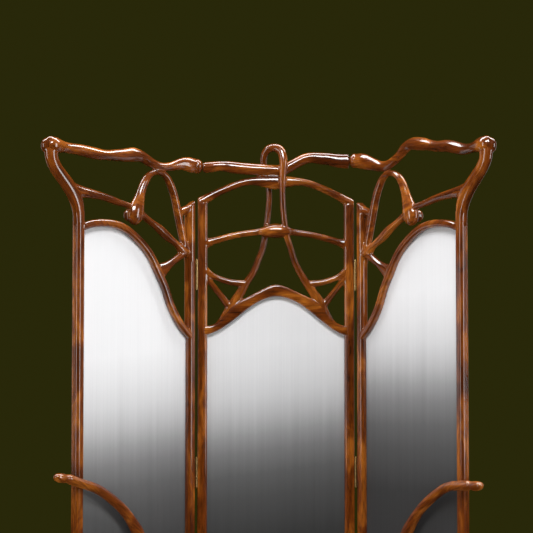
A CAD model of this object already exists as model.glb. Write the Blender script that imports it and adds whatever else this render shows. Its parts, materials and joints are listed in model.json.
# %% [markdown]
# # A carved folding screen with streaked panes
#
# The object is a three-leaf screen of varnished hardwood. Its upper part is carved into limbs that swell,
# neck and flow into each other like bones, and each leaf holds a satin pane that is pale above and smoky
# below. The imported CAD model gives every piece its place, so this lesson only adds what wood, glass and
# brass look like up close.

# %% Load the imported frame
import json
import math

import bmesh
import bpy
import numpy as np
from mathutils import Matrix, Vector


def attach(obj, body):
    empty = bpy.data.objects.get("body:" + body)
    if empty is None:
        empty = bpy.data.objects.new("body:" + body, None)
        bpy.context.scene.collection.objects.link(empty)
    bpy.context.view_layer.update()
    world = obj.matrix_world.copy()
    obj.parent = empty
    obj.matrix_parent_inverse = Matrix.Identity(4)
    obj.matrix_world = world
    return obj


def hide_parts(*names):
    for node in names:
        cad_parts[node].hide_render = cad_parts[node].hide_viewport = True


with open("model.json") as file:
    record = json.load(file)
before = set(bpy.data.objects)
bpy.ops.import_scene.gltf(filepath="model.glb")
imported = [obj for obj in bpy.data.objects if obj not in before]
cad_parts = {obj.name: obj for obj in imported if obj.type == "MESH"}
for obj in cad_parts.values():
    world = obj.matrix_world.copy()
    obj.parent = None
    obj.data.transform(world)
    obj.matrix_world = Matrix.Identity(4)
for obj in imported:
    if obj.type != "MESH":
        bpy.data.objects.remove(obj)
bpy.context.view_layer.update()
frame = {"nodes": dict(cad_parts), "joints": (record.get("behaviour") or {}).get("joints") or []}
nodes = frame["nodes"]

# %% [markdown]
# ## Where each leaf stands
#
# A leaf is easiest to think of lying in its own frame: u runs out from the hinge axis, or from the middle
# of the centre leaf, d runs to the back and z runs up. The wings are folded forward by two different angles
# in the photograph, and the left wing is the mirror image of the right one. One function turns leaf
# coordinates into the shared frame, for whole arrays at once.

# %% Leaf frames
MM = 0.001
WINGS = ("left_wing", "right_wing")
HINGES = {joint["child"]: np.array(joint["pos_m"]) for joint in frame["joints"]}
CENTRE = (HINGES["left_wing"] + HINGES["right_wing"]) / 2
HALF_SPAN = (HINGES["right_wing"][0] - HINGES["left_wing"][0]) / 2
FOLDS = {"left_wing": math.radians(39.0), "right_wing": math.radians(56.0)}
SIDES = {"left_wing": -1.0, "right_wing": 1.0}
UP = np.array([0, 0, 1.0])


def leaf_axes(leaf):
    """Origin, u axis and d axis of a leaf: a turn of the plane by the fold, mirrored in x on the left."""
    if leaf == "centre_leaf":
        return CENTRE, np.array([1.0, 0, 0]), np.array([0, 1.0, 0])
    fold, side = FOLDS[leaf], SIDES[leaf]
    out = np.array([side * math.cos(fold), -math.sin(fold), 0])
    back = np.array([side * math.sin(fold), math.cos(fold), 0])
    return HINGES[leaf], out, back


def to_world(leaf, u, d, z):
    """Leaf coordinates to the shared frame: the origin plus u times the out axis, d times the back axis and
    z times the up axis."""
    origin, out, back = leaf_axes(leaf)
    u, d, z = np.broadcast_arrays(u, d, z)
    return origin + u[..., None] * out + d[..., None] * back + z[..., None] * UP


def to_leaf(leaf, points):
    """The way back: dot products with the leaf's axes."""
    origin, out, back = leaf_axes(leaf)
    local = points - origin
    return local @ out, local @ back, local[:, 2]


print("half span between the hinge axes:", round(HALF_SPAN, 4))

# %% [markdown]
# ## Meshes from arrays
#
# Every new piece ends up as an array of points and an array of faces. A few helpers put them into Blender
# and read them back. Each wooden piece also carries a colour attribute named grain, which holds where a
# point lies in its plank: first along the grain, then across it twice. The wood finish reads that
# attribute, so the figure runs the way each plank was sawn.

# %% Arrays into a mesh and back
SHARP = math.radians(38)


def store_grain(mesh, grain):
    """Writes plank coordinates, one row per point, into the attribute named grain."""
    layer = mesh.color_attributes.new("grain", "FLOAT_COLOR", "POINT")
    filled = np.ones((len(mesh.vertices), 4), np.float32)
    filled[:, :3] = grain
    layer.data.foreach_set("color", filled.ravel())


def mesh_object(name, points, faces, grain=None):
    """Puts points and faces into a new object, with the plank coordinates as a float colour per point. It is
    shaded smooth, except over edges that turn by more than SHARP."""
    mesh = bpy.data.meshes.new(name)
    mesh.from_pydata(points, [], faces)
    mesh.validate()
    if grain is not None:
        store_grain(mesh, grain)
    mesh.polygons.foreach_set("use_smooth", np.ones(len(mesh.polygons), bool))
    mesh.set_sharp_from_angle(angle=SHARP)
    mesh.update()
    made = bpy.data.objects.new(name, mesh)
    bpy.context.scene.collection.objects.link(made)
    return made


def mesh_points(mesh):
    """Points of a mesh, one row each."""
    flat = np.empty(len(mesh.vertices) * 3)
    mesh.vertices.foreach_get("co", flat)
    return flat.reshape(-1, 3)


def mesh_triangles(mesh):
    """Point numbers of a mesh's triangles, one row each."""
    mesh.calc_loop_triangles()
    flat = np.empty(len(mesh.loop_triangles) * 3, np.int64)
    mesh.loop_triangles.foreach_get("vertices", flat)
    return flat.reshape(-1, 3)


print("edges stay sharp past", round(math.degrees(SHARP)), "degrees")

# %% [markdown]
# ## Closed grids
#
# A stile, a limb or a pane is a grid: rows of points that close round a profile, with a flat cap at each
# end. The numbers of the four corners of every face follow from the row and the column alone, so all the
# faces come out of one array.


# %% Faces of a closed grid
def tube_faces(rows, columns):
    """Quads of a grid of rows that each close into a ring: point i, i + 1 on one row and the next."""
    row, column = np.meshgrid(np.arange(rows - 1), np.arange(columns), indexing="ij")
    here = row * columns + column
    beside = row * columns + (column + 1) % columns
    quads = np.stack([here, beside, beside + columns, here + columns], axis=-1)
    return quads.reshape(-1, 4)


def capped_tube(rows, columns):
    """Quads of a closed grid and a flat face over each end."""
    faces = tube_faces(rows, columns).tolist()
    faces.append(list(range(columns))[::-1])
    faces.append(list(range((rows - 1) * columns, rows * columns)))
    return faces


def recalculated(made):
    """Turns all faces of an object outwards."""
    work = bmesh.new()
    work.from_mesh(made.data)
    bmesh.ops.recalc_face_normals(work, faces=work.faces)
    work.to_mesh(made.data)
    work.free()
    return made


print("faces of a capped tube of 3 rows and 4 columns:", len(capped_tube(3, 4)))

# %% [markdown]
# ## The straight stiles
#
# The stiles are planed and moulded, so they keep crisp lines: a softened hinge edge, a small step, a
# quarter round towards the pane and a rebate behind it. A round edge mirrors a lamp as a line whose width
# grows with its radius, so these radii decide how bright the lines down the stiles get. An outer stile is
# rounded all round its outer side, with two shallow grooves along the edge. That is a profile in u and d,
# carried up along z.

# %% Stile profiles
FRONT, BACK = 0.5 * MM, 29.5 * MM
EDGE_GAP = 3.2 * MM
CENTRE_STILE, WING_STILE, OUTER_STILE = 30 * MM, 25 * MM, 27 * MM
CENTRE_OVOLO, WING_OVOLO = 9 * MM, 11 * MM
WING_REACH = 455 * MM
GLASS_FRONT = 19 * MM
EASED, ARRIS = 1.2 * MM, 4.5 * MM
STEP_DEPTH, STEP_ROUND = 0.9 * MM, 1.5 * MM
SIGHT_ROUND, OUTER_ROUND, BACK_ROUND = 7 * MM, 10 * MM, 5 * MM
REED, REED_CUT, EDGE_POINTS = 3 * MM, 1.6 * MM, 27


def arc(centre, radius, first, last, steps):
    """Points on a circle about a centre, from one angle to another, in degrees."""
    turn = np.radians(np.linspace(first, last, steps))
    return np.stack([centre[0] + radius * np.cos(turn), centre[1] + radius * np.sin(turn)], axis=-1)


def inner_profile(width, ovolo):
    """Plan of an inner stile as u and d, and how far each point follows the rebate: 1 on the notch and 0
    elsewhere. Each corner is an arc, and the quarter round has the radius ovolo."""
    sight = EDGE_GAP + width
    outline = np.concatenate([
        arc((EDGE_GAP + EASED, BACK - EASED), EASED, 90, 180, 4),
        arc((EDGE_GAP + ARRIS, FRONT + ARRIS), ARRIS, 180, 270, 10),
        arc((sight - ovolo - STEP_ROUND, FRONT + STEP_ROUND), STEP_ROUND, -90, -24, 4),
        arc((sight - ovolo, FRONT + STEP_DEPTH + ovolo), ovolo, -90, 0, 14),
        [[sight, GLASS_FRONT], [sight, GLASS_FRONT], [sight, BACK]]])
    follows = np.zeros(len(outline))
    follows[-2:] = 1.0
    return outline, follows


def outer_profile():
    """Plan of an outer stile: three corners that are arcs, and two grooves in the outer edge, each the part
    of a circle of radius REED that reaches REED_CUT deep."""
    low, high = WING_REACH - OUTER_STILE, WING_REACH
    first, last = FRONT + OUTER_ROUND, BACK - BACK_ROUND
    middle = (first + last) / 2
    depth = np.linspace(first, last, EDGE_POINTS)[1:-1]
    bite = np.zeros_like(depth)
    for place in (middle - REED, middle + REED):
        inside = np.maximum(REED ** 2 - (depth - place) ** 2, 0)
        bite = np.maximum(bite, np.sqrt(inside) - (REED - REED_CUT))
    outline = np.concatenate([
        arc((low + SIGHT_ROUND, FRONT + SIGHT_ROUND), SIGHT_ROUND, 180, 270, 8),
        arc((high - OUTER_ROUND, first), OUTER_ROUND, -90, 0, 12),
        np.stack([high - bite, depth], axis=-1),
        arc((high - BACK_ROUND, last), BACK_ROUND, 0, 90, 8),
        [[low, BACK], [low, GLASS_FRONT], [low, GLASS_FRONT]]])
    follows = np.zeros(len(outline))
    follows[[-3, -2]] = -1.0
    return outline, follows


centre_plan = inner_profile(CENTRE_STILE, CENTRE_OVOLO)
inner_plan, outer_plan = inner_profile(WING_STILE, WING_OVOLO), outer_profile()
print("points round the plans:", [len(plan[0]) for plan in (centre_plan, inner_plan, outer_plan)])

# %% [markdown]
# The rows of a stile are all the same, and only the depth of the rebate changes from one row to the next,
# so it stops above the bottom rail. Where a stile runs into the carving, its core is drawn in a little, so
# that it stays hidden inside the moulding until the carving takes over.

# %% Stiles from a profile
REBATE = 8 * MM
CORE_INSET = 1.6 * MM
PLANK_STEP = np.array([0.61, 0.23, 0.17])


def stile_points(profile, heights, notch, slant=0.0, core=None):
    """The profile repeated at each height. The notch share of each row deepens the rebate, the core share
    draws the row in towards its middle, and the slant lowers the last row in proportion to the distance from
    the hinge edge."""
    outline, follows = profile
    core = np.zeros(len(heights)) if core is None else np.array(core)
    middle, half = (outline.max(axis=0) + outline.min(axis=0)) / 2, np.ptp(outline, axis=0) / 2
    drawn_in = 1 - core[:, None, None] * CORE_INSET / half
    rows = middle + (outline[None] - middle) * drawn_in
    u = rows[..., 0] - follows[None, :] * REBATE * notch[:, None]
    d = rows[..., 1]
    z = np.repeat(heights[:, None], outline.shape[0], axis=1)
    span = np.ptp(outline[:, 0])
    z[-1] = z[-1] - slant * (outline[:, 0] - outline[:, 0].min()) / span
    return u, d, z


def plank_place(plank):
    """Where a numbered plank starts in the grain, so that no two planks show the same figure."""
    return plank * PLANK_STEP


def stile(name, leaf, profile, heights, notch, plank, flip=False, slant=0.0, core=None):
    """A stile object in its leaf, with plank coordinates along z. In the centre leaf u is measured from the
    middle, and a flipped profile is mirrored, for the left stile."""
    u, d, z = stile_points(profile, np.array(heights), np.array(notch), slant, core)
    if leaf == "centre_leaf":
        u = (u - HALF_SPAN) if flip else (HALF_SPAN - u)
    points = to_world(leaf, u, d, z).reshape(-1, 3)
    grain = np.stack([z, u, d], axis=-1).reshape(-1, 3) + plank_place(plank)
    return recalculated(mesh_object(name, points, capped_tube(*u.shape), grain))


print("plank 2 starts at", plank_place(2).tolist())

# %% Lower and upper stiles
STILE_TOP, HEAD_SEAT, SLANT = 1668 * MM, 1660 * MM, 20 * MM
INNER_CORE, OUTER_CORE, CENTRE_CORE = 1215 * MM, 1500 * MM, 1236 * MM
INNER_CUT, OUTER_CUT, CENTRE_CUT = 1480 * MM, 1600 * MM, 1402 * MM
REBATE_FOOT, REBATE_STEP, LAP = 157 * MM, 0.1 * MM, 8 * MM
FOOT_ROWS = [0.0, REBATE_FOOT - REBATE_STEP, REBATE_FOOT]
NOTCH_ROWS = [0.0, 0.0, 1.0, 1.0]
INNER_PLANK = {"left_wing": 31, "right_wing": 32}
OUTER_PLANK = {"left_wing": 33, "right_wing": 34}
CENTRE_PLANK = {"left": 35, "right": 36}


def top_rows(low, cut, high):
    """Heights and core shares of the part that is fused: a thin core up to the cut, then the full profile."""
    return [low, cut - LAP, cut, high], [1.0, 1.0, 0.0, 0.0]


wood_pieces, upper_parts = [], {"centre_leaf": []}
for leaf in WINGS:
    low_inner = stile(f"{leaf}_inner_stile_wood", leaf, inner_plan, FOOT_ROWS + [INNER_CUT + LAP], NOTCH_ROWS,
                      INNER_PLANK[leaf])
    low_outer = stile(f"{leaf}_outer_stile_wood", leaf, outer_plan, FOOT_ROWS + [OUTER_CUT], NOTCH_ROWS,
                      OUTER_PLANK[leaf])
    heights, core = top_rows(INNER_CORE, INNER_CUT, STILE_TOP)
    top = stile(f"{leaf}_stile_top", leaf, inner_plan, heights, [0.0] * 4, INNER_PLANK[leaf], slant=SLANT,
                core=core)
    post = stile(f"{leaf}_post_core", leaf, outer_plan, [OUTER_CORE, OUTER_CUT], [0.0] * 2, OUTER_PLANK[leaf],
                 core=[1.0, 1.0])
    wood_pieces += [(low_inner, leaf, []), (low_outer, leaf, [])]
    upper_parts[leaf] = [top, post]
for side, plank in CENTRE_PLANK.items():
    flip = side == "left"
    low = stile(f"centre_{side}_stile_wood", "centre_leaf", centre_plan, FOOT_ROWS + [CENTRE_CUT + LAP],
                NOTCH_ROWS, plank, flip)
    heights, core = top_rows(CENTRE_CORE, CENTRE_CUT, HEAD_SEAT)
    top = stile(f"centre_{side}_stile_top", "centre_leaf", centre_plan, heights, [0.0] * 4, plank, flip,
                core=core)
    wood_pieces.append((low, "centre_leaf", []))
    upper_parts["centre_leaf"].append(top)
print("stiles:", len(wood_pieces), "lower and", sum(map(len, upper_parts.values())), "upper")

# %% [markdown]
# ## Horns, knobs and knots
#
# At its top an outer stile stops being a moulding and swells into a horn, whose end is the rear half of the
# corner knob. The grooves have to run out softly under the swelling, so the horn is a limb of its own:
# ovals carried along a smooth line, squarer at the foot, where they start inside the moulded post. The knob
# is an egg, and a second egg fills the saddle between it and the end of the crest bar. Three short limbs of
# that kind are the web that widens the outer branch where it leaves the horn, the shoulder that ties the
# hairpin to the slanted top of the inner stile, and the knot on the middle rail of the centre leaf, which
# closes over the tendon that passes it.

# %% Limbs along a line
EGG_TIP, EGG_STATIONS = 8, 9


def smooth_rows(stations, count):
    """Rows between stations, spaced evenly by chord length: cubic Hermite steps with slopes from the
    neighbours."""
    stations = np.asarray(stations, float)
    steps = np.linalg.norm(np.diff(stations[:, :3], axis=0), axis=1)
    chord = np.concatenate([[0.0], np.cumsum(steps)])
    slope = np.gradient(stations, chord, axis=0)
    place = np.linspace(0, chord[-1], count)
    index = np.clip(np.searchsorted(chord, place) - 1, 0, len(steps) - 1)
    width = steps[index][:, None]
    t = (place - chord[index])[:, None] / width
    start = (1 + 2 * t) * (1 - t) ** 2 * stations[index] + t * (1 - t) ** 2 * width * slope[index]
    end = t ** 2 * (3 - 2 * t) * stations[index + 1] + t ** 2 * (t - 1) * width * slope[index + 1]
    return start + end


def limb(name, leaf, stations, plank, rows=70, columns=36, start=None):
    """Ovals along a line in millimetres: u, d, z, half width, half depth and roundness per station. Cosine
    and sine are raised to the roundness with their sign kept, so that less than 1 gives a soft-cornered
    square. The grain follows the line, as if the plank had grown bent, from its first station or from another
    start in the plank."""
    line = smooth_rows(stations, rows)
    middle, wide, deep, power = line[:, :3], line[:, 3:4], line[:, 4:5], line[:, 5:6]
    along = np.gradient(middle, axis=0)
    along /= np.linalg.norm(along, axis=1, keepdims=True)
    across = np.stack([along[:, 2], np.zeros(rows), -along[:, 0]], axis=-1)
    across /= np.linalg.norm(across, axis=1, keepdims=True)
    through = np.cross(along, across)
    turn = np.linspace(0, 2 * math.pi, columns, endpoint=False)[None, :]
    sideways = wide * np.sign(np.cos(turn)) * np.abs(np.cos(turn)) ** power
    backwards = deep * np.sign(np.sin(turn)) * np.abs(np.sin(turn)) ** power
    rings = middle[:, None] + across[:, None] * sideways[..., None] + through[:, None] * backwards[..., None]
    points = to_world(leaf, *(np.moveaxis(rings, -1, 0) * MM)).reshape(-1, 3)
    length = np.concatenate([[0.0], np.cumsum(np.linalg.norm(np.diff(middle, axis=0), axis=1))])
    first_u, first_d, first_z = middle[0] if start is None else start
    lengthwise = np.broadcast_to(first_z + length[:, None], sideways.shape)
    grain = np.stack([lengthwise, first_u + sideways, first_d + backwards], axis=-1).reshape(-1, 3) * MM
    grain = grain + plank_place(plank)
    return recalculated(mesh_object(name, points, capped_tube(rows, columns), grain))


def egg(u, d, z, wide, deep, tall):
    """Stations of an egg: the height goes with the cosine of an angle that runs from tip to tip, half width
    and half depth with its sine."""
    turn = np.radians(np.linspace(EGG_TIP, 180 - EGG_TIP, EGG_STATIONS))
    level = np.ones_like(turn)
    return np.stack([u * level, d * level, z - tall * np.cos(turn), wide * np.sin(turn),
                     deep * np.sin(turn), level], axis=-1)


print("stations and values of an egg:", egg(0, 0, 0, 1, 1, 1).shape)

# %% Horns, knobs, webs, shoulders and the knot
HORN = [(441.5, 15, 1561.6, 13.2, 14.2, 0.5), (442.7, 15, 1594.1, 14.8, 14.6, 0.55),
        (449.5, 15, 1625.4, 19, 14.9, 0.65), (462.9, 15, 1651.2, 21.5, 15, 0.8),
        (483.3, 15, 1675, 21.5, 15, 0.95), (506, 15, 1698, 20.5, 15, 1), (525, 15, 1719, 20, 15, 1),
        (538, 15, 1741, 20, 15.5, 1), (541, 15, 1762, 21, 15.5, 1), (541, 15, 1780, 19, 14, 1)]
KNOB, SADDLE = egg(545, 23, 1780, 24, 18, 24), egg(542, 14, 1783, 21, 14, 25)
KNOB_START = (445.5, 23, 1788)
WEB = [(470, 15, 1655, 25, 13, 1), (455, 15, 1655, 22.5, 13, 1), (443, 15, 1655.5, 19, 13, 1),
       (428, 15, 1655.8, 16, 13, 1), (408, 15, 1655, 13.8, 12.6, 1), (385, 15, 1653.7, 11.5, 11.8, 1)]
SHOULDER = [(10.2, 15, 1643, 13.5, 12, 1), (30, 15, 1637, 13.5, 12, 1), (46, 15, 1632, 13, 11.5, 1),
            (62, 15, 1627, 13.5, 11.5, 1), (70, 15, 1625, 12, 11, 1)]
KNOT = [(-54, 13.5, 1572.5, 8, 8, 1), (-38, 11, 1573.5, 13.5, 13, 1), (-20, 9.5, 1575, 19, 16.5, 1),
        (0, 9, 1576, 21, 17.5, 1), (20, 9, 1576, 19, 17, 1), (38, 9.5, 1575, 14.5, 14.5, 1),
        (54, 13, 1574, 8, 9, 1)]
# The knot is carved from the plank of the middle rail
KNOT_PLANK = 24
for leaf in WINGS:
    inner, outer = INNER_PLANK[leaf], OUTER_PLANK[leaf]
    upper_parts[leaf] += [limb(f"{leaf}_horn", leaf, HORN, outer),
                          limb(f"{leaf}_knob", leaf, KNOB, outer, rows=28, start=KNOB_START),
                          limb(f"{leaf}_saddle", leaf, SADDLE, outer, rows=28, start=KNOB_START),
                          limb(f"{leaf}_web", leaf, WEB, outer, rows=36),
                          limb(f"{leaf}_shoulder", leaf, SHOULDER, inner, rows=24)]
upper_parts["centre_leaf"].append(limb("centre_knot", "centre_leaf", KNOT, KNOT_PLANK, rows=40))
print("parts that join the carvings:", {leaf: len(made) for leaf, made in upper_parts.items()})

# %% [markdown]
# ## The carved limbs
#
# A carver leaves no seams: branches, hairpins, rails and stile tops melt into each other. The CAD keeps
# them as separate solids, so here the solids of one leaf are gathered, fused by a voxel remesh and then
# smoothed, which fills every crotch with a soft hollow. The remesh forgets attributes, so the plank
# coordinates are copied back from the gathered solids afterwards with a Data Transfer modifier.

# %% Gather the solids
MERGE = 2e-6


def node_arrays(node, plank):
    """Points and triangles of a CAD node with equal points merged, and its plank coordinates: the points
    turned to the node's own main axes, which come from a singular value decomposition."""
    points, triangles = mesh_points(nodes[node].data), mesh_triangles(nodes[node].data)
    places = np.round(points / MERGE).astype(np.int64)
    _, first, back = np.unique(places, axis=0, return_index=True, return_inverse=True)
    triangles = back.ravel()[triangles]
    sound = (triangles[:, 0] != triangles[:, 1]) & (triangles[:, 1] != triangles[:, 2])
    sound &= triangles[:, 2] != triangles[:, 0]
    points, triangles = points[first], triangles[sound]
    _, _, axes = np.linalg.svd(points - points.mean(axis=0), full_matrices=False)
    return points, triangles, (points - points.mean(axis=0)) @ axes.T + plank_place(plank)


def object_arrays(made):
    """Points, triangles and plank coordinates of an object made above, which is then removed."""
    points, triangles = mesh_points(made.data), mesh_triangles(made.data)
    grain = np.empty(len(points) * 4, np.float32)
    made.data.color_attributes["grain"].data.foreach_get("color", grain)
    bpy.data.objects.remove(made)
    return points, triangles, grain.reshape(-1, 4)[:, :3]


def gathered(name, parts):
    """One source object from several arrays of points, triangles and plank coordinates."""
    counts = np.cumsum([0] + [len(points) for points, _, _ in parts])
    faces = [triangles + count for (_, triangles, _), count in zip(parts, counts)]
    points, grain = [part[0] for part in parts], [part[2] for part in parts]
    return mesh_object(name, np.concatenate(points), np.concatenate(faces), np.concatenate(grain))


print("CAD nodes to choose from:", len(nodes))

# %% Fuse and smooth
VOXEL = 2.2 * MM
SOFTENING, SMOOTHING = 0.5, 11
SWELL = 0.45 * MM


def evaluated_mesh(made):
    """The object's mesh with its modifiers worked out."""
    return bpy.data.meshes.new_from_object(made.evaluated_get(bpy.context.evaluated_depsgraph_get()))


def fused(name, source):
    """Fuses a gathered source: voxel remesh, smoothing, a slight swelling along the normals against the
    shrinking, and the plank coordinates read back from the nearest source face."""
    work = bpy.data.objects.new(name, source.data.copy())
    bpy.context.scene.collection.objects.link(work)
    remesh = work.modifiers.new("fuse", "REMESH")
    remesh.mode = "VOXEL"
    remesh.voxel_size = VOXEL
    soften = work.modifiers.new("soften", "SMOOTH")
    soften.factor, soften.iterations = SOFTENING, SMOOTHING
    swell = work.modifiers.new("swell", "DISPLACE")
    swell.strength, swell.mid_level = SWELL, 0.0
    mesh = evaluated_mesh(work)
    work.modifiers.clear()
    work.data = mesh
    store_grain(mesh, np.zeros((len(mesh.vertices), 3)))
    carry = work.modifiers.new("carry", "DATA_TRANSFER")
    carry.object = source
    carry.use_vert_data = True
    carry.data_types_verts = {"COLOR_VERTEX"}
    carry.vert_mapping = "POLYINTERP_NEAREST"
    work.data = evaluated_mesh(work)
    work.modifiers.clear()
    work.data.name = name
    work.data.polygons.foreach_set("use_smooth", np.ones(len(work.data.polygons), bool))
    bpy.data.objects.remove(source)
    print(name, "quads:", len(work.data.polygons))
    return work


print("voxels of", round(VOXEL / MM, 1), "mm, smoothed", SMOOTHING, "times")

# %% [markdown]
# ## The arms
#
# An arm grips its outer stile like a finger: past the stile it ends in two knuckles with a neck between
# them, and on the right wing that end hangs lower. The points of the CAD arm are moved for that before the
# arm is smoothed like the other limbs.

# %% Arms with their knuckles
ARM_FROM, ARM_END, ARM_DRAW = 400 * MM, 540 * MM, 10 * MM
ARM_DROP = {"left_wing": 2 * MM, "right_wing": 25 * MM}
ARM_LINE = np.array([(450, 818), (486, 829), (515, 835), (551, 838.5)]) * MM
ARM_DEPTH = -9 * MM
ARM_PLANK = {"left_wing": 10, "right_wing": 20}
NECK, NECK_REACH, NECK_SHARE = 507 * MM, 7 * MM, 0.2


def arm_arrays(leaf):
    """An arm's arrays with its free end shaped. A bell curve in u draws the limb in about its line, which
    leaves a knuckle on either side. From just inside the stile outwards, the end is drawn in and lowered by
    shares s that grow as 3 s squared minus 2 s cubed."""
    points, triangles, grain = node_arrays(f"{leaf}_arm", ARM_PLANK[leaf])
    u, d, z = to_leaf(leaf, points)
    thin = 1 - NECK_SHARE * np.exp(-((u - NECK) / NECK_REACH) ** 2)
    line = np.interp(u, ARM_LINE[:, 0], ARM_LINE[:, 1])
    d, z = ARM_DEPTH + (d - ARM_DEPTH) * thin, line + (z - line) * thin
    share = np.clip((u - ARM_FROM) / (ARM_END - ARM_FROM), 0, 1)
    eased = share ** 2 * (3 - 2 * share)
    return to_world(leaf, u - ARM_DRAW * eased, d, z - ARM_DROP[leaf] * eased), triangles, grain


arms = {leaf: arm_arrays(leaf) for leaf in WINGS}
print("points of the arms:", {leaf: len(points) for leaf, (points, _, _) in arms.items()})

# %% [markdown]
# ## Carvings and arms as pieces
#
# The limbs of a leaf, its stile tops and the short limbs above become one carving. An arm stays a piece of
# its own, because it crosses the pane in front of the frame. Each piece is kept with the leaf that it moves
# with and the CAD nodes that it stands for.

# %% Carvings and arms
WING_LIMBS = ("glass_arch", "crest_bar", "hairpin", "outer_branch", "inner_branch", "brace")
CENTRE_LIMBS = ("glass_arch", "crest_bar", "head_rail", "mid_rail", "loop_tendon", "left_tendon",
                "left_upper_strut", "left_lower_strut", "right_upper_strut", "right_lower_strut")
FIRST_PLANK = {"left_wing": 1, "right_wing": 11, "centre_leaf": 21}


def carving(leaf, prefix, limbs, stiles):
    """The carving of a leaf, from its CAD limbs and the upper parts made above, with the nodes it stands
    for. Each limb comes from the next plank."""
    names = [f"{prefix}_{limb_name}" for limb_name in limbs]
    parts = [node_arrays(node, FIRST_PLANK[leaf] + place) for place, node in enumerate(names)]
    parts += [object_arrays(part) for part in upper_parts[leaf]]
    made = fused(f"{prefix}_carving", gathered(f"{prefix}_source", parts))
    return made, leaf, names + [f"{prefix}_{stile_name}" for stile_name in stiles]


for leaf in WINGS:
    wood_pieces.append(carving(leaf, leaf, WING_LIMBS, ("inner_stile", "outer_stile")))
    arm = fused(f"{leaf}_arm_wood", gathered(f"{leaf}_arm_source", [arms[leaf]]))
    wood_pieces.append((arm, leaf, [f"{leaf}_arm"]))
wood_pieces.append(carving("centre_leaf", "centre", CENTRE_LIMBS, ("left_stile", "right_stile")))
print("wooden pieces:", len(wood_pieces))

# %% [markdown]
# ## The brass
#
# A finish is a tree of nodes that ends in one shader, so a few helpers make the nodes that come up again.
# The hinges get the simplest finish. They are the CAD solids themselves, because a butt hinge is plain
# geometry, in a satin brass that is a little browner where a noise says so, as lacquered brass goes in
# patches.


# %% Node helpers
def shader(name):
    """New node material; returns it with its node tree and its main shader."""
    made = bpy.data.materials.new(name)
    made.use_nodes = True
    return made, made.node_tree, made.node_tree.nodes["Principled BSDF"]


def stretched_noise(tree, vector, stretch, scale, detail, distortion=0.0):
    """Noise whose coordinates are multiplied by stretch, so that it is drawn out along the grain."""
    mapping = tree.nodes.new("ShaderNodeMapping")
    mapping.inputs["Scale"].default_value = stretch
    noise = tree.nodes.new("ShaderNodeTexNoise")
    noise.inputs["Scale"].default_value = scale
    noise.inputs["Detail"].default_value = detail
    noise.inputs["Distortion"].default_value = distortion
    tree.links.new(vector, mapping.inputs["Vector"])
    tree.links.new(mapping.outputs["Vector"], noise.inputs["Vector"])
    return noise.outputs["Fac"]


def ramp(tree, value, stops):
    """Colour ramp through stops of position and colour."""
    node = tree.nodes.new("ShaderNodeValToRGB")
    elements = node.color_ramp.elements
    while len(elements) < len(stops):
        elements.new(0.5)
    for element, (place, colour) in zip(elements, stops):
        element.position, element.color = place, (*colour, 1.0)
    tree.links.new(value, node.inputs["Fac"])
    return node.outputs["Color"]


def multiplied(tree, share, first, second):
    """First colour multiplied by the second, to a share."""
    node = tree.nodes.new("ShaderNodeMix")
    node.data_type, node.blend_type = "RGBA", "MULTIPLY"
    node.inputs["Factor"].default_value = share
    tree.links.new(first, node.inputs["A"])
    tree.links.new(second, node.inputs["B"])
    return node.outputs["Result"]


def roughness_from(tree, body, value, low, high):
    """Roughness that runs from low to high as the value runs from 0 to 1."""
    rough = tree.nodes.new("ShaderNodeMapRange")
    rough.inputs["To Min"].default_value, rough.inputs["To Max"].default_value = low, high
    tree.links.new(value, rough.inputs["Value"])
    tree.links.new(rough.outputs["Result"], body.inputs["Roughness"])


def bump_from(tree, body, height, strength, distance):
    """Normals tilted by the slope of a height."""
    bump = tree.nodes.new("ShaderNodeBump")
    bump.inputs["Strength"].default_value = strength
    bump.inputs["Distance"].default_value = distance
    tree.links.new(height, bump.inputs["Height"])
    tree.links.new(bump.outputs["Normal"], body.inputs["Normal"])


hinge_nodes = [name for name in nodes if "hinge" in name]
print("hinge nodes:", len(hinge_nodes))

# %% Brass finish
PATCHES = ((1, 1, 1), 130, 4)
BRASS_TONES = [(0.3, (0.46, 0.29, 0.10)), (0.6, (0.78, 0.58, 0.26))]
BRASS_ROUGHNESS = (0.42, 0.2)


def satin_brass():
    """Metal with a patchy tone and a roughness that follows it."""
    made, tree, body = shader("satin_brass")
    place = tree.nodes.new("ShaderNodeTexCoord")
    patches = stretched_noise(tree, place.outputs["Object"], *PATCHES)
    tree.links.new(ramp(tree, patches, BRASS_TONES), body.inputs["Base Color"])
    roughness_from(tree, body, patches, *BRASS_ROUGHNESS)
    body.inputs["Metallic"].default_value = 1.0
    return made


brass = satin_brass()
for name in hinge_nodes:
    mesh = nodes[name].data
    mesh.materials.clear()
    mesh.materials.append(brass)
    mesh.polygons.foreach_set("use_smooth", np.zeros(len(mesh.polygons), bool))
print("nodes of the brass finish:", len(brass.node_tree.nodes))

# %% [markdown]
# ## The varnished wood
#
# The wood is a reddish hardwood under a deep varnish: broad light and dark clouds, long streaks, and fine
# dark pores along the grain. Three noise textures do that, each stretched along the first plank coordinate.
# The gloss is a coat layer over a duller body, so highlights stay sharp and white while the wood underneath
# keeps its colour.

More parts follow.
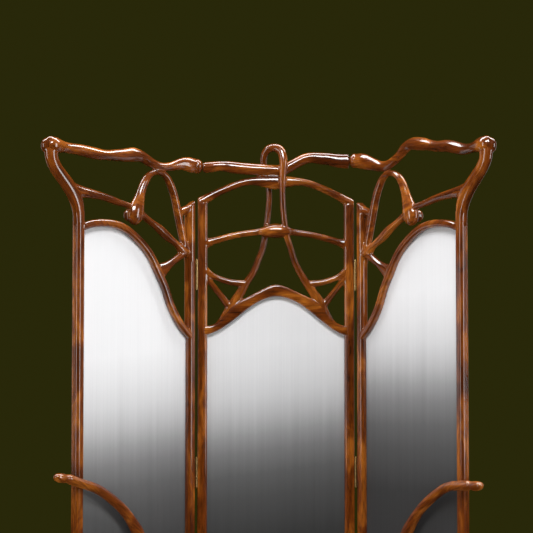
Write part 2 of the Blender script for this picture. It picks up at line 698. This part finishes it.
# %% Wood finish
CLOUDS = ((0.35, 1, 1), 22, 3, 0.8)
STREAKS = ((0.11, 1, 1), 170, 5, 0.6)
PORES = ((0.03, 1, 1), 900, 2)
CLOUD_TONES = [(0.31, (0.082, 0.0145, 0.0011)), (0.5, (0.200, 0.0430, 0.0034)), (0.69, (0.48, 0.142, 0.014))]
STREAK_TONES = [(0.34, (0.17, 0.13, 0.10)), (0.5, (0.78, 0.74, 0.68)), (0.66, (1, 1, 1))]
PORE_TONES = [(0.36, (0.5, 0.42, 0.36)), (0.46, (1, 1, 1))]
STREAK_SHARE, PORE_SHARE = 0.62, 0.6
WOOD_ROUGHNESS = (0.28, 0.46)
PORE_STRENGTH, PORE_DEPTH = 0.05, 0.3 * MM


def plank_vector(tree, turn):
    """Plank coordinates from the grain attribute, or from Object coordinates turned about z where a CAD rail
    is shown as it is."""
    if turn is None:
        source = tree.nodes.new("ShaderNodeAttribute")
        source.attribute_name = "grain"
        return source.outputs["Vector"]
    source = tree.nodes.new("ShaderNodeTexCoord")
    turned = tree.nodes.new("ShaderNodeMapping")
    turned.inputs["Rotation"].default_value = (0, 0, turn)
    tree.links.new(source.outputs["Object"], turned.inputs["Vector"])
    return turned.outputs["Vector"]


def varnished_wood(name, turn=None):
    """Varnished hardwood: the tone of the clouds times that of the streaks and of the pores, under a coat."""
    made, tree, body = shader(name)
    vector = plank_vector(tree, turn)
    clouds = stretched_noise(tree, vector, *CLOUDS)
    streaks = stretched_noise(tree, vector, *STREAKS)
    pores = stretched_noise(tree, vector, *PORES)
    colour = ramp(tree, clouds, CLOUD_TONES)
    colour = multiplied(tree, STREAK_SHARE, colour, ramp(tree, streaks, STREAK_TONES))
    colour = multiplied(tree, PORE_SHARE, colour, ramp(tree, pores, PORE_TONES))
    tree.links.new(colour, body.inputs["Base Color"])
    roughness_from(tree, body, streaks, *WOOD_ROUGHNESS)
    bump_from(tree, body, pores, PORE_STRENGTH, PORE_DEPTH)
    body.inputs["Specular IOR Level"].default_value = 0.06
    body.inputs["Coat Weight"].default_value = 1.0
    body.inputs["Coat Roughness"].default_value = 0.12
    body.inputs["Coat IOR"].default_value = 1.72
    return made


carved_wood = varnished_wood("varnished_hardwood")
print("nodes of the wood finish:", len(carved_wood.node_tree.nodes))

# %% Wood on its pieces
for piece, leaf, stood_for in wood_pieces:
    piece.data.materials.clear()
    piece.data.materials.append(carved_wood)
    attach(piece, leaf)
    if stood_for:
        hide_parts(*stood_for)
RAIL_TURNS = {"centre": 0.0, "left_wing": -FOLDS["left_wing"], "right_wing": FOLDS["right_wing"]}
for leaf, turn in RAIL_TURNS.items():
    rail_wood = varnished_wood(f"{leaf}_rail_wood", turn)
    for node in (f"{leaf}_bottom_rail", f"{leaf}_glazing_beads"):
        nodes[node].data.materials.clear()
        nodes[node].data.materials.append(rail_wood)
print("CAD nodes that carvings and arms stand for:", sum(len(stood_for) for _, _, stood_for in wood_pieces))

# %% [markdown]
# ## The panes
#
# The panes are satin glass with fine upright draw lines. They look pale above and smoky below, and do not
# show what lies behind them, so they are made as a glossy body whose tone falls with height, not as clear
# glass. The surface itself is drawn too: a grid across and up the pane whose front is pushed in and out by
# a sum of many small waves across its width, so highlights break into upright streaks from every side.

# %% Pane shape
PANE_COLUMNS, PANE_ROWS = 361, 41
FADE = {"left_wing": 0.872, "centre_leaf": 0.907, "right_wing": 1.053}
TILT = {"left_wing": 0.045, "centre_leaf": -0.06, "right_wing": 0.0}
WAVES = ((3.1, 0.012), (4.7, 0.016), (7.9, 0.02), (13.0, 0.03), (29.0, 0.05), (71.0, 0.09))
FOOT_MARGIN, FACE_SETBACK = 50 * MM, 0.25 * MM


def point_values(made, name, values):
    """Stores one number per point of a pane: the same grid of values for its front and for its back."""
    layer = made.data.attributes.new(name, "FLOAT", "POINT")
    layer.data.foreach_set("value", np.concatenate([values, values[:, ::-1]], axis=1).ravel())


def pane(leaf, node):
    """Satin pane in place of a CAD pane. Its top follows the CAD outline, read off as height over u; the
    front is a grid of u and height, moved in d by a sum of sine waves in u, and the back is the same grid
    left flat."""
    u, d, z = to_leaf(leaf, mesh_points(nodes[node].data))
    foot, front, back = z.min(), d.min(), d.max()
    upper = np.flatnonzero(z > foot + FOOT_MARGIN)
    order = upper[np.argsort(u[upper])]
    across = np.linspace(u.min(), u.max(), PANE_COLUMNS)
    top = np.interp(across, u[order], z[order])
    rise = np.linspace(0, 1, PANE_ROWS)[:, None]
    wave = sum(size * np.sin(2 * math.pi * across / (length * MM) + length ** 2)
               for length, size in WAVES) * MM
    heights = foot + rise * (top - foot)[None, :]
    wide = np.broadcast_to(across, heights.shape)
    face = to_world(leaf, wide, front + FACE_SETBACK + np.broadcast_to(wave, heights.shape), heights)
    rear = to_world(leaf, wide, back, heights)
    rows = np.concatenate([face, rear[:, ::-1]], axis=1)
    made = mesh_object(f"{node}_pane", rows.reshape(-1, 3), capped_tube(PANE_ROWS, 2 * PANE_COLUMNS))
    recalculated(made)
    above = heights - FADE[leaf] + TILT[leaf] * (wide - wide.mean()) / np.ptp(wide)
    point_values(made, "across", wide)
    point_values(made, "above_fade", above)
    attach(made, leaf)
    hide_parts(node)
    return made


panes = [pane("centre_leaf", "centre_glass"), pane("left_wing", "left_wing_glass"),
         pane("right_wing", "right_wing_glass")]
print("panes:", len(panes), "with", len(panes[0].data.vertices), "points each")

# %% Pane finish
LINES, VEILS = ((1, 1, 0.004), 420, 4), ((1, 1, 0.02), 38, 3)
VEIL_DRIFT = 0.05
LOWEST, HIGHEST = -0.275, 0.365
GREYS = ((0.05, 0.048), (0.25, 0.088), (0.36, 0.128), (0.47, 0.220), (0.55, 0.340), (0.64, 0.53),
         (0.735, 0.69), (0.845, 0.80), (0.97, 0.88))
COOLNESS = 1.015
PANE_TONES = [(place, (grey, grey, COOLNESS * grey)) for place, grey in GREYS]
LINE_TONES = [(0.3, (0.95, 0.95, 0.955)), (0.7, (1, 1, 1))]
PANE_ROUGHNESS = (0.24, 0.4)
LINE_STRENGTH, LINE_DEPTH = 0.06, 0.2 * MM


def satin_glass():
    """Pale to smoky glass: the height above each pane's own fade, shifted a little by veils, sets the tone,
    and noise drawn out upwards adds the draw lines."""
    made, tree, body = shader("satin_glass")
    across = tree.nodes.new("ShaderNodeAttribute")
    across.attribute_name = "across"
    above = tree.nodes.new("ShaderNodeAttribute")
    above.attribute_name = "above_fade"
    joined = tree.nodes.new("ShaderNodeCombineXYZ")
    tree.links.new(across.outputs["Fac"], joined.inputs["X"])
    tree.links.new(above.outputs["Fac"], joined.inputs["Z"])
    lines = stretched_noise(tree, joined.outputs["Vector"], *LINES)
    veils = stretched_noise(tree, joined.outputs["Vector"], *VEILS)
    drift = tree.nodes.new("ShaderNodeMath")
    drift.operation = "MULTIPLY_ADD"
    drift.inputs[1].default_value = VEIL_DRIFT
    tree.links.new(veils, drift.inputs[0])
    tree.links.new(above.outputs["Fac"], drift.inputs[2])
    height = tree.nodes.new("ShaderNodeMapRange")
    height.inputs["From Min"].default_value, height.inputs["From Max"].default_value = LOWEST, HIGHEST
    tree.links.new(drift.outputs["Value"], height.inputs["Value"])
    tone = ramp(tree, height.outputs["Result"], PANE_TONES)
    colour = multiplied(tree, 1.0, tone, ramp(tree, lines, LINE_TONES))
    tree.links.new(colour, body.inputs["Base Color"])
    roughness_from(tree, body, lines, *PANE_ROUGHNESS)
    bump_from(tree, body, lines, LINE_STRENGTH, LINE_DEPTH)
    body.inputs["IOR"].default_value = 1.52
    return made


pane_glass = satin_glass()
for made in panes:
    made.data.materials.append(pane_glass)
print("nodes of the pane finish:", len(pane_glass.node_tree.nodes))

# %% [markdown]
# ## Floor, light and camera
#
# The panes are pale, so they would vanish before a pale wall: the surround is a plain dark olive, and only
# the floor is pale. A long strip under the ceiling gives the highlights on top of the limbs, and a soft box
# high in front lights the panes. Upright mouldings mirror only what stands at their own height, so two tall
# soft boxes at the sides draw the bright lines down the stiles, one line for each box, and two weaker ones
# behind light the outer edges.

# %% Floor
SURROUND = (0.0215, 0.0210, 0.0030, 1)
FLOOR_TONE, FLOOR_ROUGHNESS, FLOOR_REACH = (0.52, 0.515, 0.50, 1), 0.6, 3.0


def pale_floor():
    """Even pale finish for the floor. Glossy rays see the surround there, so that the varnish mirrors one
    even dark room, whichever way it faces."""
    made, tree, body = shader("pale_floor")
    body.inputs["Base Color"].default_value = FLOOR_TONE
    body.inputs["Roughness"].default_value = FLOOR_ROUGHNESS
    mirrored = tree.nodes.new("ShaderNodeEmission")
    mirrored.inputs["Color"].default_value = SURROUND
    path = tree.nodes.new("ShaderNodeLightPath")
    choice = tree.nodes.new("ShaderNodeMixShader")
    tree.links.new(path.outputs["Is Glossy Ray"], choice.inputs["Fac"])
    tree.links.new(body.outputs["BSDF"], choice.inputs[1])
    tree.links.new(mirrored.outputs["Emission"], choice.inputs[2])
    tree.links.new(choice.outputs["Shader"], tree.nodes["Material Output"].inputs["Surface"])
    return made


corners = FLOOR_REACH * np.array([[-1, -1, 0], [1, -1, 0], [1, 1, 0], [-1, 1, 0]])
floor = mesh_object("floor", corners, [[0, 1, 2, 3]])
floor.data.materials.append(pale_floor())
print("floor reaches", FLOOR_REACH, "m to each side")

# %% Lamps
# Place, aim, width and height in metres, and power in watts
LAMPS = {
    "left_box": ((-3.4, -2.0, 1.9), (0, 0, 1.3), (0.9, 2.4), 31),
    "right_box": ((3.4, -2.0, 1.9), (0, 0, 1.3), (0.9, 2.4), 44),
    "top_box": ((0, -2.9, 3.7), (0, -0.1, 1.5), (1.6, 0.9), 105),
    "ceiling_strip": ((0, 0.2, 4.0), (0, 0.2, 0), (6.0, 0.6), 185),
    "left_rear_box": ((-3.2, 2.3, 1.9), (0, 0, 1.2), (1.8, 2.4), 7),
    "right_rear_box": ((3.2, 2.3, 1.9), (0, 0, 1.2), (1.8, 2.4), 7),
}


def soft_lamp(name, place, aim, size, power):
    """Area lamp of a width and height at a place, turned towards an aim."""
    lamp = bpy.data.lights.new(name, "AREA")
    lamp.shape, lamp.energy = "RECTANGLE", power
    lamp.size, lamp.size_y = size
    made = bpy.data.objects.new(name, lamp)
    bpy.context.scene.collection.objects.link(made)
    made.location = place
    made.rotation_euler = (Vector(aim) - Vector(place)).to_track_quat("-Z", "Y").to_euler()


for name, setting in LAMPS.items():
    soft_lamp(name, *setting)
print("lamps:", len(LAMPS), "with", sum(setting[-1] for setting in LAMPS.values()), "W in all")

# %% [markdown]
# The world gives a little even light. The camera, mirrors and glass see the dark surround in its place, so
# the Light Path node chooses between the two: whichever of its three answers is largest mixes them.

# %% World
AMBIENT, AMBIENT_STRENGTH = (0.9, 0.9, 0.9, 1), 0.06
world = bpy.data.worlds.new("studio")
bpy.context.scene.world = world
world.use_nodes = True
tree = world.node_tree
ambient = tree.nodes["Background"]
ambient.inputs["Color"].default_value = AMBIENT
ambient.inputs["Strength"].default_value = AMBIENT_STRENGTH
seen = tree.nodes.new("ShaderNodeBackground")
seen.inputs["Color"].default_value = SURROUND
path = tree.nodes.new("ShaderNodeLightPath")
mirrored = tree.nodes.new("ShaderNodeMath")
through = tree.nodes.new("ShaderNodeMath")
mirrored.operation = through.operation = "MAXIMUM"
choice = tree.nodes.new("ShaderNodeMixShader")
tree.links.new(path.outputs["Is Camera Ray"], mirrored.inputs[0])
tree.links.new(path.outputs["Is Glossy Ray"], mirrored.inputs[1])
tree.links.new(mirrored.outputs["Value"], through.inputs[0])
tree.links.new(path.outputs["Is Transmission Ray"], through.inputs[1])
tree.links.new(through.outputs["Value"], choice.inputs["Fac"])
tree.links.new(ambient.outputs["Background"], choice.inputs[1])
tree.links.new(seen.outputs["Background"], choice.inputs[2])
tree.links.new(choice.outputs["Shader"], tree.nodes["World Output"].inputs["Surface"])
print("nodes of the world:", len(tree.nodes))

# %% [markdown]
# The camera stands where the photograph was taken from, at about chest height and five metres away, with a
# long lens that is shifted upwards. The shift takes up part of the distance between the horizon and the
# middle of the frame, and a small pitch takes up the rest.

# %% Camera
FRAME_PIXELS, FOCAL_PIXELS, HORIZON_PIXEL = 533.0, 1639.2, 401.1
SENSOR, SHIFT = 36.0, 0.10
EYE = np.array([-0.460, -5.012, 1.052])
LOOK = np.array([0.0854, 0.9963])
camera = bpy.data.cameras.new("camera")
camera.sensor_width = SENSOR
camera.lens = SENSOR * FOCAL_PIXELS / FRAME_PIXELS
camera.shift_y = SHIFT
below = HORIZON_PIXEL - FRAME_PIXELS / 2 - SHIFT * FRAME_PIXELS
pitch = math.atan2(below, FOCAL_PIXELS)
viewer = bpy.data.objects.new("camera", camera)
bpy.context.scene.collection.objects.link(viewer)
viewer.location = (EYE[0] + CENTRE[0], EYE[1] + CENTRE[1], EYE[2])
viewer.rotation_euler = (math.radians(90) + pitch, 0, -math.atan2(LOOK[0], LOOK[1]))
bpy.context.scene.camera = viewer
bpy.context.scene.view_settings.view_transform = "Standard"
print("lens:", round(camera.lens, 2), "pitch in degrees:", round(math.degrees(pitch), 2))
